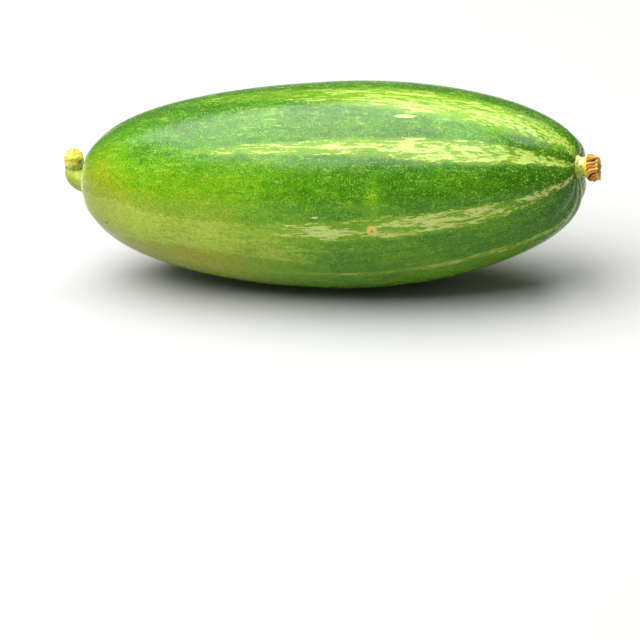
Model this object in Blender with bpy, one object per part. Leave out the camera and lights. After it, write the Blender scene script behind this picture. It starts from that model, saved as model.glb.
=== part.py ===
"""A pointed gourd lying on its belly: the fruit, the cut stalk at its -X end and the dried flower base at +X."""

import math

import bmesh
import bpy
from mathutils import Matrix, Vector

MM = 0.001

# The fruit's own size, in metres. Its long axis runs along X, from the stalk at -X to the flower end at +X.
FRUIT_LENGTH = 95.3 * MM
FRUIT_RADIUS = 18.2 * MM
HALF_LENGTH = FRUIT_LENGTH / 2

# Where the fruit is widest, as a share of its half length from the middle, and how each end closes:
# radius = FRUIT_RADIUS * (1 - a ** power) ** roundness, with a running from 0 at the widest ring to 1 at the pole.
WIDEST_AT = 0.089
STALK_END = {"power": 2.01, "roundness": 0.387}
FLOWER_END = {"power": 1.808, "roundness": 0.445}

# The long axis rises towards the flower end and bows up at both ends. The poles stand off it a little,
# and the flower pole, which is high on the near side, is also drawn back.
AXIS_RISE = 1.34 * MM
AXIS_BOW = 1.04 * MM
STALK_POLE_LIFT = 0.46 * MM
FLOWER_POLE_LIFT = 4.36 * MM
FLOWER_POLE_SIDE = -2.77 * MM
FLOWER_POLE_BACK = 2.09 * MM
POLE_SHIFT_POWER = 5.0

# Shallow furrows run from pole to pole under the pale stripes. Angles are about X, from -Y (0) up to +Z (90).
FURROW_ANGLES = (83.0, 41.0, -3.5, -38.0, -76.0, -112.0, -150.0, 168.0, 126.0)
FURROW_HALF_WIDTH = 9.0
FURROW_DEPTH_MIDDLE = 0.005
FURROW_DEPTH_STALK_END = 0.035
FURROW_DEPTH_FLOWER_END = 0.085

# Slow unevenness of the cross-section, as shares of the radius.
OVAL_SHARE = 0.006
OVAL_PHASE = 60.0
LOBE_SHARE = 0.004
LOBE_PHASE = -40.0
LOBE_TWIST = 110.0

# The belly is pressed flat where it lies. The plane cuts this far above the lowest point.
BELLY_FLAT_DEPTH = 0.33 * MM

# Each end piece sits in a shallow pit in the fruit, with this gap all round it.
SEAT_GAP = 0.3 * MM
PIT_DEPTH = 0.9 * MM

# The stalk leaves level, bends up and is cut across.
STALK_BASE_RADIUS = 2.5 * MM
STALK_RADIUS = 1.66 * MM
STALK_TIP_RADIUS = 1.78 * MM
STALK_REACH = 1.05 * MM
STALK_BEND_RADIUS = 2.0 * MM
STALK_BEND_ANGLE = 96.0
STALK_RISE = 3.0 * MM
STALK_RIBS = 5
STALK_RIB_SHARE = 0.045

# The dried flower base is a pale collar that runs into a thicker, wrinkled brown stub with a blunt end.
# It points along X, turned a few degrees towards +Y.
COLLAR_RADIUS = 1.62 * MM
COLLAR_LENGTH = 1.9 * MM
STUB_RADIUS = 2.3 * MM
STUB_TIP_RADIUS = 1.85 * MM
STUB_LENGTH = 1.95 * MM
STUB_DROOP = 0.5 * MM
FLOWER_BASE_TURN = 6.0
STUB_WRINKLES = 9
STUB_BROAD_FOLDS = 5
STUB_WRINKLE_SHARE = 0.038
TIP_HOLLOW = 0.2 * MM

# How finely the faceted solids are divided.
FRUIT_SEGMENTS = 72
FRUIT_RINGS = 40
END_SEGMENTS = 27
STALK_SEGMENTS = 20
STALK_BEND_RINGS = 7

# Colours are linear, and roughness is what the photo's gloss suggests.
SKIN_FINISH = {"color": (0.105, 0.330, 0.012, 1.0), "roughness": 0.34}
STALK_FINISH = {"color": (0.330, 0.400, 0.070, 1.0), "roughness": 0.60}
FLOWER_BASE_FINISH = {"color": (0.380, 0.150, 0.018, 1.0), "roughness": 0.70}


def clear_scene():
    for old in list(bpy.data.objects):
        bpy.data.objects.remove(old)


def finish(name, color, roughness):
    """A plain Principled material in the part's own colour."""
    material = bpy.data.materials.new(name)
    material.use_nodes = True
    shader = material.node_tree.nodes["Principled BSDF"]
    shader.inputs["Base Color"].default_value = color
    shader.inputs["Roughness"].default_value = roughness
    shader.inputs["Metallic"].default_value = 0.0
    return material


def add_object(name, shape, material):
    """Turns a bmesh into a smooth-shaded object."""
    bmesh.ops.recalc_face_normals(shape, faces=shape.faces)
    mesh = bpy.data.meshes.new(name)
    shape.to_mesh(mesh)
    shape.free()
    mesh.shade_smooth()
    mesh.set_sharp_from_angle(angle=math.radians(38))
    mesh.materials.append(material)
    made = bpy.data.objects.new(name, mesh)
    bpy.context.scene.collection.objects.link(made)
    return made


def end_of(t):
    return STALK_END if t < WIDEST_AT else FLOWER_END


def ring_radius(t):
    """The fruit's radius at t, which runs from -1 at the stalk pole to 1 at the flower pole."""
    reach = (t - WIDEST_AT) / (1 - WIDEST_AT if t > WIDEST_AT else 1 + WIDEST_AT)
    end = end_of(t)
    return FRUIT_RADIUS * max(0.0, 1 - abs(reach) ** end["power"]) ** end["roundness"]


def station_of(radius, side):
    """The t, on the stalk side (-1) or the flower side (1), where the fruit has this radius."""
    end = FLOWER_END if side > 0 else STALK_END
    share = (1 - (radius / FRUIT_RADIUS) ** (1 / end["roundness"])) ** (1 / end["power"])
    return WIDEST_AT + side * share * (1 - side * WIDEST_AT)


def ring_centre(t):
    """The middle of the ring at t, on the bowed and tilted axis."""
    cap = (1 - ring_radius(t) / FRUIT_RADIUS) ** POLE_SHIFT_POWER
    lift = FLOWER_POLE_LIFT if t > 0 else STALK_POLE_LIFT
    side = FLOWER_POLE_SIDE if t > 0 else 0.0
    back = FLOWER_POLE_BACK if t > 0 else 0.0
    height = AXIS_RISE * t + AXIS_BOW * t * t + lift * cap
    return Vector((HALF_LENGTH * t - back * cap, side * cap, height))


def furrow(angle):
    """How deep the furrows are at this angle, from 0 on a rib to 1 in a furrow's bottom."""
    depth = 0.0
    for middle in FURROW_ANGLES:
        off = (angle - middle + 180) % 360 - 180
        depth += math.exp(-((off / FURROW_HALF_WIDTH) ** 2))
    return depth


def skin_point(t, angle):
    """The point of the skin at t and at this angle about the axis, in degrees."""
    radius = ring_radius(t)
    cap = 1 - radius / FRUIT_RADIUS
    end_depth = FURROW_DEPTH_FLOWER_END if t > 0 else FURROW_DEPTH_STALK_END
    depth = FURROW_DEPTH_MIDDLE + end_depth * cap * math.sqrt(cap)
    oval = OVAL_SHARE * math.sin(math.radians(2 * angle + OVAL_PHASE))
    lobes = LOBE_SHARE * math.sin(math.radians(3 * angle + LOBE_PHASE + LOBE_TWIST * t))
    radius *= 1 + (oval + lobes) * (1 - cap) - depth * furrow(angle)
    around = math.radians(angle)
    return ring_centre(t) + Vector((0.0, -radius * math.cos(around), radius * math.sin(around)))


def add_ring(shape, points):
    return [shape.verts.new(point) for point in points]


def bridge(shape, first, second):
    """Quads between two rings with the same number of points."""
    count = len(first)
    for i in range(count):
        after = (i + 1) % count
        shape.faces.new((first[i], first[after], second[after], second[i]))


def close_with_fan(shape, ring, middle):
    """Triangles from a ring to one point in its middle."""
    point = shape.verts.new(middle)
    for i, corner in enumerate(ring):
        shape.faces.new((corner, ring[(i + 1) % len(ring)], point))


def round_ring(centre, radius, segments, across, up, wave=None):
    """Points of a ring about centre, in the plane of across and up. wave gives each angle's share of the radius."""
    points = []
    for i in range(segments):
        around = 2 * math.pi * i / segments
        reach = radius * (wave(around) if wave else 1.0)
        points.append(centre + (across * math.cos(around) + up * math.sin(around)) * reach)
    return points


def pit_radius(side):
    return (COLLAR_RADIUS if side > 0 else STALK_BASE_RADIUS) + SEAT_GAP


def pit_mouth(side):
    """The middle of the pit's mouth, on the flower side (1) or the stalk side (-1)."""
    return ring_centre(station_of(pit_radius(side), side))


def build_fruit(material):
    shape = bmesh.new()
    first = station_of(pit_radius(-1), -1)
    last = station_of(pit_radius(1), 1)
    start, stop = math.asin(first), math.asin(last)
    across, up = Vector((0, -1, 0)), Vector((0, 0, 1))
    rings = []
    for k in range(FRUIT_RINGS + 1):
        t = math.sin(start + (stop - start) * k / FRUIT_RINGS)
        angles = [360 * i / FRUIT_SEGMENTS for i in range(FRUIT_SEGMENTS)]
        rings.append(add_ring(shape, [skin_point(t, angle) for angle in angles]))
    for ring, after in zip(rings, rings[1:]):
        bridge(shape, ring, after)
    for side, rim in ((-1, rings[0]), (1, rings[-1])):
        mouth = pit_mouth(side)
        floor = mouth - Vector((side * PIT_DEPTH, 0, 0))
        lip = add_ring(shape, round_ring(mouth, pit_radius(side) * 0.985, FRUIT_SEGMENTS, across, up))
        bottom = add_ring(shape, round_ring(floor, pit_radius(side) * 0.985, FRUIT_SEGMENTS, across, up))
        bridge(shape, rim, lip)
        bridge(shape, lip, bottom)
        close_with_fan(shape, bottom, floor)
    press_belly_flat(shape)
    return add_object("fruit", shape, material)


def press_belly_flat(shape):
    """Cuts the belly off level just above its lowest point and closes the cut with one flat face."""
    level = min(vert.co.z for vert in shape.verts) + BELLY_FLAT_DEPTH
    cut = bmesh.ops.bisect_plane(
        shape,
        geom=shape.verts[:] + shape.edges[:] + shape.faces[:],
        dist=1e-7,
        plane_co=(0, 0, level),
        plane_no=(0, 0, -1),
        clear_outer=True,
    )
    rim = [part for part in cut["geom_cut"] if isinstance(part, bmesh.types.BMEdge)]
    bmesh.ops.contextual_create(shape, geom=rim)


def stalk_path():
    """(centre, direction, share of the way along) for each ring of the stalk, from its seat to its cut end."""
    seat = pit_mouth(-1) + Vector((PIT_DEPTH - SEAT_GAP, 0, 0))
    level = Vector((-1, 0, 0))
    bend_start = pit_mouth(-1) + level * STALK_REACH
    pivot = bend_start + Vector((0, 0, STALK_BEND_RADIUS))
    rings = [(seat, level), (pit_mouth(-1), level)]
    for k in range(STALK_BEND_RINGS + 1):
        turn = math.radians(STALK_BEND_ANGLE) * k / STALK_BEND_RINGS
        centre = pivot + Vector((-math.sin(turn), 0, -math.cos(turn))) * STALK_BEND_RADIUS
        rings.append((centre, Vector((-math.cos(turn), 0, math.sin(turn)))))
    centre, direction = rings[-1]
    for share in (0.5, 0.93, 1.0):
        rings.append((centre + direction * STALK_RISE * share, direction))
    return rings


def build_stalk(material):
    """The stalk is ribbed, thickest where it joins the fruit, and swells a little again at the cut."""
    shape = bmesh.new()
    path = stalk_path()
    seated = 2
    rings = []
    for k, (centre, direction) in enumerate(path):
        way = max(0, k - seated + 1) / (len(path) - seated)
        neck = math.exp(-3.2 * way)
        radius = STALK_RADIUS + (STALK_BASE_RADIUS - STALK_RADIUS) * neck
        radius += (STALK_TIP_RADIUS - STALK_RADIUS) * way**4
        ribbed = STALK_RIB_SHARE * min(1.0, way * 3)
        if k == len(path) - 1:
            radius *= 0.9

        def wave(around, ribbed=ribbed):
            return 1 + ribbed * math.cos(STALK_RIBS * around)

        across = Vector((0, -1, 0))
        up = direction.cross(across).normalized()
        rings.append(add_ring(shape, round_ring(centre, radius, STALK_SEGMENTS, across, up, wave)))
    for ring, after in zip(rings, rings[1:]):
        bridge(shape, ring, after)
    close_with_fan(shape, rings[0], path[0][0])
    close_with_fan(shape, rings[-1], path[-1][0] - path[-1][1] * 0.12 * MM)
    return add_object("stalk", shape, material)


def flower_base_outline():
    """(distance out of the pit's mouth, radius, wrinkling) of each ring, from the seat to the blunt end."""
    brown = COLLAR_LENGTH
    return (
        (-(PIT_DEPTH - SEAT_GAP), COLLAR_RADIUS, 0.0),
        (0.0, COLLAR_RADIUS, 0.0),
        (brown * 0.55, COLLAR_RADIUS * 0.98, 0.2),
        (brown, COLLAR_RADIUS * 1.02, 0.5),
        (brown + STUB_LENGTH * 0.14, STUB_RADIUS, 1.0),
        (brown + STUB_LENGTH * 0.38, STUB_RADIUS * 1.02, 1.0),
        (brown + STUB_LENGTH * 0.66, STUB_RADIUS * 0.93, 1.0),
        (brown + STUB_LENGTH * 0.90, STUB_TIP_RADIUS, 0.9),
        (brown + STUB_LENGTH, STUB_TIP_RADIUS * 0.72, 0.6),
    )


def build_flower_base(material):
    """The dried flower base droops a little towards its end, and its wrinkles run lengthwise."""
    shape = bmesh.new()
    mouth = pit_mouth(1)
    turn = math.radians(FLOWER_BASE_TURN)
    along, up = Vector((math.cos(turn), math.sin(turn), 0)), Vector((0, 0, 1))
    across = along.cross(up)
    rings = []
    full = COLLAR_LENGTH + STUB_LENGTH
    for out, radius, wrinkled in flower_base_outline():
        droop = STUB_DROOP * (max(0.0, out) / full) ** 2
        centre = mouth + along * out - up * droop

        def wave(around, wrinkled=wrinkled):
            folds = math.cos(STUB_WRINKLES * around) + 0.7 * math.cos(STUB_BROAD_FOLDS * around + 1.3)
            return 1 + STUB_WRINKLE_SHARE * wrinkled * folds

        rings.append(add_ring(shape, round_ring(centre, radius, END_SEGMENTS * 2, across, up, wave)))
    for ring, after in zip(rings, rings[1:]):
        bridge(shape, ring, after)
    close_with_fan(shape, rings[0], mouth - along * (PIT_DEPTH - SEAT_GAP))
    tip = mouth + along * (full - TIP_HOLLOW) - up * STUB_DROOP
    close_with_fan(shape, rings[-1], tip)
    return add_object("flower_base", shape, material)


def stand_on_origin(objects):
    """Moves the whole gourd so that the middle of its box's underside is the origin."""
    corners = [vert.co for made in objects for vert in made.data.vertices]
    low = Vector([min(corner[i] for corner in corners) for i in range(3)])
    high = Vector([max(corner[i] for corner in corners) for i in range(3)])
    foot = Vector(((low.x + high.x) / 2, (low.y + high.y) / 2, low.z))
    for made in objects:
        made.data.transform(Matrix.Translation(-foot))


def main():
    clear_scene()
    skin = finish("skin", **SKIN_FINISH)
    stalk_skin = finish("stalk", **STALK_FINISH)
    dried = finish("dried_flower_base", **FLOWER_BASE_FINISH)
    fruit = build_fruit(skin)
    stalk = build_stalk(stalk_skin)
    flower_base = build_flower_base(dried)
    stand_on_origin([fruit, stalk, flower_base])


main()
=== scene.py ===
"""Looks of a pointed gourd on its belly: the striped fruit, the cut stalk and the dried flower base."""

import math

import bpy
import numpy as np
from mathutils import Matrix, Vector


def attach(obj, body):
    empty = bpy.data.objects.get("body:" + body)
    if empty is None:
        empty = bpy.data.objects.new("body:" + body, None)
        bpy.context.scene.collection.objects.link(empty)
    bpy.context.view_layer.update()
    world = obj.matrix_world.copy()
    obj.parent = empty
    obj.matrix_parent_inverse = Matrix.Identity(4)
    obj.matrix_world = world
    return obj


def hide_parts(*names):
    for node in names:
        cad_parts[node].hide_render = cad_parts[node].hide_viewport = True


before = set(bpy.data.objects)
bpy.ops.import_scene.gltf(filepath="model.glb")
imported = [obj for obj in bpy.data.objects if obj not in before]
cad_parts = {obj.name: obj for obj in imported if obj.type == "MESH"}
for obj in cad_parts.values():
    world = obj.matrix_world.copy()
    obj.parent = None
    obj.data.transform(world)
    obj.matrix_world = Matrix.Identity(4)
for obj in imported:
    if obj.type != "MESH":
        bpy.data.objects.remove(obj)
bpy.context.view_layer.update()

MM = 0.001

# The fruit's size, as in the frame. Its axis runs from t = -1 at the stalk pole to t = 1 at the flower pole.
HALF_LENGTH = 47.65 * MM
FRUIT_RADIUS = 18.2 * MM
AXIS_MIDDLE = Vector((0.989, -0.069, 17.776)) * MM
WIDEST_AT = 0.089
STALK_END = {"power": 2.01, "roundness": 0.387}
FLOWER_END = {"power": 1.808, "roundness": 0.445}
AXIS_RISE = 1.34 * MM
AXIS_BOW = 1.04 * MM
STALK_POLE_LIFT = 0.46 * MM
FLOWER_POLE_LIFT = 4.36 * MM
FLOWER_POLE_SIDE = -2.77 * MM
FLOWER_POLE_BACK = 2.09 * MM
POLE_SHIFT_POWER = 5.0

# Furrows run from pole to pole under the pale stripes. Angles are about X, from -Y (0) up to +Z (90).
FURROW_ANGLES = (83.0, 41.0, -3.5, -38.0, -76.0, -112.0, -150.0, 168.0, 126.0)
FURROW_HALF_WIDTH = 9.0
FURROW_DEPTH_MIDDLE = 0.005
FURROW_DEPTH_STALK_END = 0.035
FURROW_DEPTH_FLOWER_END = 0.085
OVAL = {"share": 0.006, "phase": 60.0}
LOBES = {"share": 0.004, "phase": -40.0, "twist": 110.0}
RELIEF_FULL = 0.6 * MM
SWELLING_DEPTH = 0.16 * MM
SWELLING_SIZE = 9.0 * MM

# The pits that the stalk and the flower base sit in.
STALK_PIT_RADIUS = 2.80 * MM
FLOWER_PIT_RADIUS = 1.92 * MM
PIT_DEPTH = 0.9 * MM
SEAT_DEPTH = 0.6 * MM

CAGE_SEGMENTS = 72
CAGE_RINGS = 60

# The stalk leaves level, bends up and is cut across.
STALK_BASE_RADIUS = 2.5 * MM
STALK_FOOT_RADIUS = 2.94 * MM
STALK_FOOT_OUT = 0.10 * MM
STALK_REACH = 0.87 * MM
STALK_BEND_RADIUS = 2.0 * MM
STALK_BEND_ANGLE = 100.0
STALK_RISE = 2.25 * MM
STALK_LEVEL_STEPS = 3
STALK_BEND_STEPS = 8
STALK_RISE_STEPS = 5
STALK_SEGMENTS = 30
STALK_RIBS = 5
STALK_RIB_DEPTH = 0.12 * MM

# (share of the way from the fruit to the cut, radius in mm): a bulb in the bend, and a groove over it.
STALK_RADII = (
    (0.00, 2.50),
    (0.10, 2.50),
    (0.20, 2.36),
    (0.30, 2.18),
    (0.42, 2.08),
    (0.52, 2.00),
    (0.61, 1.82),
    (0.67, 1.62),
    (0.74, 1.66),
    (1.00, 1.58),
)
STALK_GROOVE_WAY = 4.6

# The torn cut is a dome: (mm further up, mm outwards, radius against the ring before).
STALK_DOME = (
    (0.40, 0.14, 0.886),
    (0.40, 0.12, 0.771),
    (0.30, -0.04, 0.685),
    (0.16, -0.10, 0.54),
    (0.03, 0.0, 0.45),
)
STALK_NOTCH = {"angle": -71.0, "way": 5.85, "size": (0.28, 0.28, 0.36), "depth": 0.35 * MM}

# The unevenness of the stalk, and of its cut: the size and the depth of the lumps.
STALK_LUMPS = (1.8 * MM, 0.20 * MM)
CUT_LUMPS = (0.85 * MM, 0.62 * MM)
CUT_CRUMBS = (0.34 * MM, 0.26 * MM)

# The stalk gets torn from here on, in mm along it, and is torn all over from there.
STALK_CUT_FROM = 4.9
STALK_CUT_WHOLE = 5.9

# The flower base is a pale collar that runs into a thicker, wrinkled brown stub.
COLLAR_RADIUS = 1.62 * MM
COLLAR_LENGTH = 1.5 * MM
STUB_RADIUS = 2.38 * MM
STUB_TIP_RADIUS = 1.86 * MM
STUB_LENGTH = 2.30 * MM
STUB_DROOP = 0.6 * MM
FLOWER_BASE_TURN = 6.0
STUB_SEGMENTS = 48
STUB_WRINKLES = 9
STUB_BROAD_FOLDS = 5
STUB_FINE_FOLDS = 17
STUB_TWIST = -0.42
STUB_WRINKLE_DEPTH = 0.30 * MM
STUB_FINE_DEPTH = 0.15 * MM
COLLAR_CREASE_DEPTH = 0.12 * MM
DRY_LUMPS = (0.8 * MM, 0.24 * MM)

# Each stripe has rows of (t, angle, half width in degrees, how much of it is pale). Its tone has rows of
# (t, how pale its streaks are).
STRIPES = (
    {
        "row": (
            (-0.60, 84, 6, 0.02),
            (-0.30, 83, 8, 0.22),
            (0.00, 80, 11, 0.36),
            (0.15, 79, 13, 0.50),
            (0.40, 78, 15, 0.72),
            (0.70, 76, 17, 0.74),
            (1.00, 74, 19, 0.74),
        ),
        "tone": ((0.15, 0.55), (0.40, 0.62), (0.85, 0.45)),
    },
    {
        "row": (
            (-0.45, 41, 3.0, 0.10),
            (-0.30, 41, 3.8, 0.46),
            (-0.10, 41, 4.4, 0.62),
            (0.05, 41, 5.0, 0.66),
            (0.20, 41.5, 6.2, 0.75),
            (0.35, 41.5, 7.0, 0.77),
            (0.50, 41.0, 8.4, 0.79),
            (0.68, 41.0, 9.8, 0.85),
            (0.85, 41, 8.0, 0.82),
            (1.00, 40, 7.0, 0.80),
        ),
        "tone": ((0.10, 0.86), (0.35, 0.72), (0.56, 0.78), (1.00, 0.60)),
    },
    {
        "row": (
            (-0.30, -5, 5.0, 0.10),
            (-0.05, -5, 7.0, 0.54),
            (0.10, -5, 8.0, 0.68),
            (0.60, -4.0, 8.5, 0.74),
            (0.80, -1, 8.0, 0.72),
            (0.97, 8, 7.5, 0.72),
            (1.00, 9, 7.5, 0.75),
        ),
        "tone": ((0.00, 1.0),),
    },
    {
        "row": (
            (-0.85, -36, 2.0, 0.10),
            (-0.50, -36, 2.6, 0.40),
            (0.00, -37, 2.8, 0.60),
            (0.40, -39, 3.2, 0.64),
            (0.70, -41, 4.0, 0.66),
            (0.85, -47, 5.0, 0.68),
            (0.93, -56, 6.0, 0.72),
            (1.00, -72, 7.0, 0.72),
        ),
        "tone": ((0.00, 0.60),),
    },
    {
        "row": (
            (-0.7, -76, 3, 0.1),
            (-0.2, -76, 5, 0.50),
            (0.5, -77, 8, 0.65),
            (1.0, -96, 9, 0.72),
        ),
        "tone": ((0.0, 0.7),),
    },
    {
        "row": (
            (-0.8, -112, 4, 0.2),
            (0.0, -112, 9, 0.60),
            (0.5, -113, 11, 0.70),
            (1.0, -126, 11, 0.75),
        ),
        "tone": ((0.0, 0.8),),
    },
    {
        "row": (
            (-0.5, -150, 3, 0.1),
            (0.1, -150, 4, 0.55),
            (0.6, -151, 6, 0.65),
            (1.0, -158, 7, 0.70),
        ),
        "tone": ((0.0, 0.7),),
    },
    {
        "row": (
            (-0.6, 168, 3, 0.1),
            (0.0, 168, 6, 0.62),
            (0.4, 168, 9, 0.78),
            (1.0, 165, 9, 0.80),
        ),
        "tone": ((0.0, 0.95),),
    },
    {
        "row": (
            (-0.4, 126, 3, 0.1),
            (0.1, 126, 6, 0.52),
            (0.5, 126, 9, 0.65),
            (1.0, 124, 10, 0.75),
        ),
        "tone": ((0.0, 0.8),),
    },
)

# The wide pale matte band low on the stalk half, partly a paler ground side and partly a painted reflection
# of the bright floor: (t, upper edge, lower edge, strength).
PALE_BAND = (
    (-1.00, 12.0, -34.0, 0.90),
    (-0.90, 9.0, -34.0, 1.00),
    (-0.77, 7.0, -28.5, 1.00),
    (-0.60, 3.5, -22.5, 1.00),
    (-0.45, 1.6, -21.0, 0.97),
    (-0.30, 0.0, -21.0, 0.90),
    (-0.10, -2.0, -25.0, 0.72),
    (0.05, -2.0, -28.0, 0.38),
    (0.20, -2.0, -28.0, 0.00),
)
PALE_BAND_SOFTNESS = 3.5

# How yellow the green is: how much is added down the sides and at the ends, and over each side of the stalk
# half, as (angle, half width in degrees, how much).
RIPE_DOWN_SIDE = 0.62
RIPE_STALK_CAP = 0.26
RIPE_FLOWER_CAP = -0.38
RIPE_SIDES = ((-12.0, 48.0, 0.55), (190.0, 55.0, 0.30))

# Where the green is yellower than around it: (t, angle, half width along, half width in degrees, how much).
YELLOW_SPOTS = (
    (-0.84, 38.0, 0.12, 16.0, 0.18),
    (-0.80, 12.0, 0.20, 14.0, 0.16),
    (-0.52, -36.0, 0.26, 13.0, 0.50),
    (0.325, 14.0, 0.022, 13.0, 0.32),
    (0.64, 57.0, 0.15, 13.0, 0.30),
    (0.35, 58.0, 0.14, 12.0, 0.10),
)

# The skin round the stalk is pale as far as this t, by angle: (angle, t).
STALK_RING = (
    (-180.0, -0.980),
    (-90.0, -0.965),
    (-45.0, -0.913),
    (-25.0, -0.932),
    (0.0, -0.944),
    (30.0, -0.944),
    (60.0, -0.957),
    (100.0, -0.975),
    (180.0, -0.980),
)
STALK_RING_SOFTNESS = 0.034

# How much the patterns narrow with the fruit towards its poles: 0 is not at all, 1 as much as the fruit.
PATTERN_FULLNESS = 0.6

# How much of the soft green halo round the stripes is lost by the flower end.
HALO_LOST = 0.65

# Single marks on the skin: (t, angle, half length in mm, half width in mm).
PALE_MARKS = ((0.40, 62.5, 1.9, 0.42), (0.104, 3.4, 0.9, 0.20))
BROWN_NICKS = (
    (-0.823, -18.3, 0.34, 0.36),
    (-0.898, -42.0, 0.40, 0.90),
    (-0.950, -27.0, 0.30, 1.10),
    (0.955, 8.0, 0.28, 0.26),
    (0.20, 128.0, 1.10, 0.22),
    (-0.35, -140.0, 0.70, 0.24),
    (0.45, -96.0, 0.36, 0.34),
)
SCAR = (0.309, -5.3, 0.95, 0.85)
SCAR_RISE = 0.10 * MM

# The camera stands at the photograph's viewing angle. The picture is 640 pixels wide and high.
CAMERA_AZIMUTH = 25.0
CAMERA_ELEVATION = 20.0
CAMERA_ROLL = -7.74
CAMERA_DISTANCE = 0.4415
CAMERA_LENS = 142.0
SENSOR = 36.0
PICTURE_SIZE = 640

# The pixel of the picture that the middle of the gourd is at, across and down.
GOURD_AT = (329.3, 184.6)

# Light: two level soft boxes side by side over the gourd, square to the camera, in a dim room.
# Their edges are metres to the camera's right, and metres towards it, from the middle of the gourd.
SOFT_BOXES = (
    {"rightwards": (-0.70, 0.10), "towards": (-0.50, 0.52)},
    {"rightwards": (0.19, 0.40), "towards": (-0.50, 0.24)},
)
SOFT_BOX_HEIGHT = 0.62
SOFT_BOX_RADIANCE = 6.4
ROOM_LIGHT = 0.20
FLOOR_SIZE = 8.0
FLOOR_COLOUR = (0.38, 0.38, 0.375, 1.0)

STALK_NODE = "stalk"
FRUIT_NODE = "fruit"
FLOWER_NODE = "flower_base"


def start_clean():
    """Nothing is selected, so that a new primitive is alone."""
    bpy.ops.object.select_all(action="DESELECT")


def edit(on):
    """Goes into edit mode, or back out of it."""
    bpy.ops.object.mode_set(mode="EDIT" if on else "OBJECT")


def apply_modifier(piece, kind, **settings):
    """Adds a modifier to the piece and applies it."""
    modifier = piece.modifiers.new(kind.lower(), kind)
    for name, value in settings.items():
        setattr(modifier, name, value)
    bpy.context.view_layer.objects.active = piece
    bpy.ops.object.modifier_apply(modifier=modifier.name)


def first_ring(name, segments, radius, centre, turn=0.0):
    """A ring across the X axis, or turned about Z from there, to draw a piece out from in edit mode."""
    start_clean()
    bpy.ops.mesh.primitive_circle_add(
        vertices=segments, radius=radius, location=centre, rotation=(0, math.pi / 2, turn)
    )
    piece = bpy.context.active_object
    piece.name = name
    edit(True)
    bpy.ops.mesh.select_all(action="SELECT")
    return piece


def resize_ring(growth, centre):
    bpy.ops.transform.resize(value=(growth, growth, growth), center_override=tuple(centre))


def next_ring(step, growth, centre):
    """Extrudes the selected ring, moves it by step and resizes it about its new centre."""
    bpy.ops.mesh.extrude_region_move(TRANSFORM_OT_translate={"value": tuple(step)})
    resize_ring(growth, centre)


def leave_drawn_piece():
    """Turns a closed piece's faces outwards, leaves edit mode and puts the piece's place in its mesh."""
    bpy.ops.mesh.select_all(action="SELECT")
    bpy.ops.mesh.normals_make_consistent(inside=False)
    edit(False)
    bpy.ops.object.transform_apply(location=True, rotation=True, scale=True)


def close_ends():
    """Fills the ring that is selected, and the one that is still open at the other end."""
    bpy.ops.mesh.edge_face_add()
    bpy.ops.mesh.select_all(action="DESELECT")
    bpy.ops.mesh.select_non_manifold(extend=False)
    bpy.ops.mesh.edge_face_add()
    leave_drawn_piece()


def paint_group(piece, name, weights):
    """A vertex group with one weight from 0 to 1 for each vertex."""
    group = piece.vertex_groups.new(name=name)
    for index, weight in enumerate(weights):
        if weight > 0:
            group.add([index], float(min(weight, 1.0)), "REPLACE")
    return group.name


def push(piece, name, weights, depth):
    """Moves the skin along its normals by weight times depth."""
    group = paint_group(piece, name, weights)
    apply_modifier(piece, "DISPLACE", vertex_group=group, strength=depth, mid_level=0.0)
    piece.vertex_groups.clear()


def roughen(piece, name, size, depth, basis="ORIGINAL_PERLIN", group=""):
    """Uneven lumps of this size and depth all over the piece."""
    texture = bpy.data.textures.new(name, "CLOUDS")
    texture.noise_scale = size
    texture.noise_depth = 2
    texture.noise_basis = basis
    apply_modifier(piece, "DISPLACE", texture=texture, strength=depth, mid_level=0.5, vertex_group=group)


def corners_of(piece):
    """The piece's vertices as an array."""
    places = np.zeros(len(piece.data.vertices) * 3)
    piece.data.vertices.foreach_get("co", places)
    return places.reshape(-1, 3)


def keep_value(piece, name, values):
    """Stores one number, or one vector, for each vertex."""
    values = np.asarray(values, np.float32)
    vector = values.ndim == 2
    stored = piece.data.attributes.new(name, "FLOAT_VECTOR" if vector else "FLOAT", "POINT")
    stored.data.foreach_set("vector" if vector else "value", values.ravel())


def finish_mesh(piece, sharp_angle):
    """Faces outwards and smooth shading, except where the skin turns by more than sharp_angle."""
    edit(True)
    bpy.ops.mesh.select_all(action="SELECT")
    bpy.ops.mesh.normals_make_consistent(inside=False)
    edit(False)
    bpy.ops.object.shade_smooth_by_angle(angle=math.radians(sharp_angle))


def place_piece(piece, node, material):
    piece.data.materials.clear()
    piece.data.materials.append(material)
    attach(piece, "root")
    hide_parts(node)


def ring_radius(t):
    """The fruit's radius at t."""
    t = np.clip(t, -1.0, 1.0)
    flower_side = t > WIDEST_AT
    reach = np.abs(t - WIDEST_AT) / np.where(flower_side, 1 - WIDEST_AT, 1 + WIDEST_AT)
    power = np.where(flower_side, FLOWER_END["power"], STALK_END["power"])
    roundness = np.where(flower_side, FLOWER_END["roundness"], STALK_END["roundness"])
    return FRUIT_RADIUS * np.clip(1 - reach**power, 0, None) ** roundness


def station_of(radius, side):
    """The t, on the stalk side (-1) or the flower side (1), where the fruit has this radius."""
    end = FLOWER_END if side > 0 else STALK_END
    share = (1 - (radius / FRUIT_RADIUS) ** (1 / end["roundness"])) ** (1 / end["power"])
    return WIDEST_AT + side * share * (1 - side * WIDEST_AT)


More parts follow.
